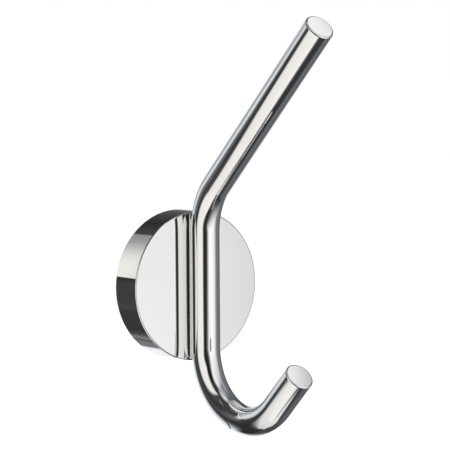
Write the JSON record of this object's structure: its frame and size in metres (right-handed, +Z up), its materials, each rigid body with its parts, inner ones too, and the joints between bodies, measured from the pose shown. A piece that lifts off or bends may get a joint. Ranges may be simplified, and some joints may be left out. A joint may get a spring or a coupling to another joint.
{
  "type": "robe hook",
  "caption": "Round rod bent into an upturned J hook with a long slanted upper arm, on a hollow round wall rosette with a hidden bracket.",
  "frame": {"origin": "middle of the rosette on its wall side, where the bracket's flat back lies on the wall", "axes": "+Z up the wall, +Y into the wall, so the hook stands out along -Y; X is across, and the part is symmetric about X = 0"},
  "size_m": [0.052, 0.0818, 0.1406],
  "materials": {
    "polished_chrome_rod": "polished",
    "polished_chrome_rosette": "polished",
    "zinc_plated_steel": "bright zinc plating",
    "bracket_zinc": "bare die casting, satin",
    "stainless_steel": "plain machined"
  },
  "bodies": {
    "root": {"hook_rod": "polished_chrome_rod", "rosette_cover": "polished_chrome_rosette", "rod_screws": "zinc_plated_steel", "wall_bracket": "bracket_zinc", "set_screw": "stainless_steel"}
  },
  "joints": []
}
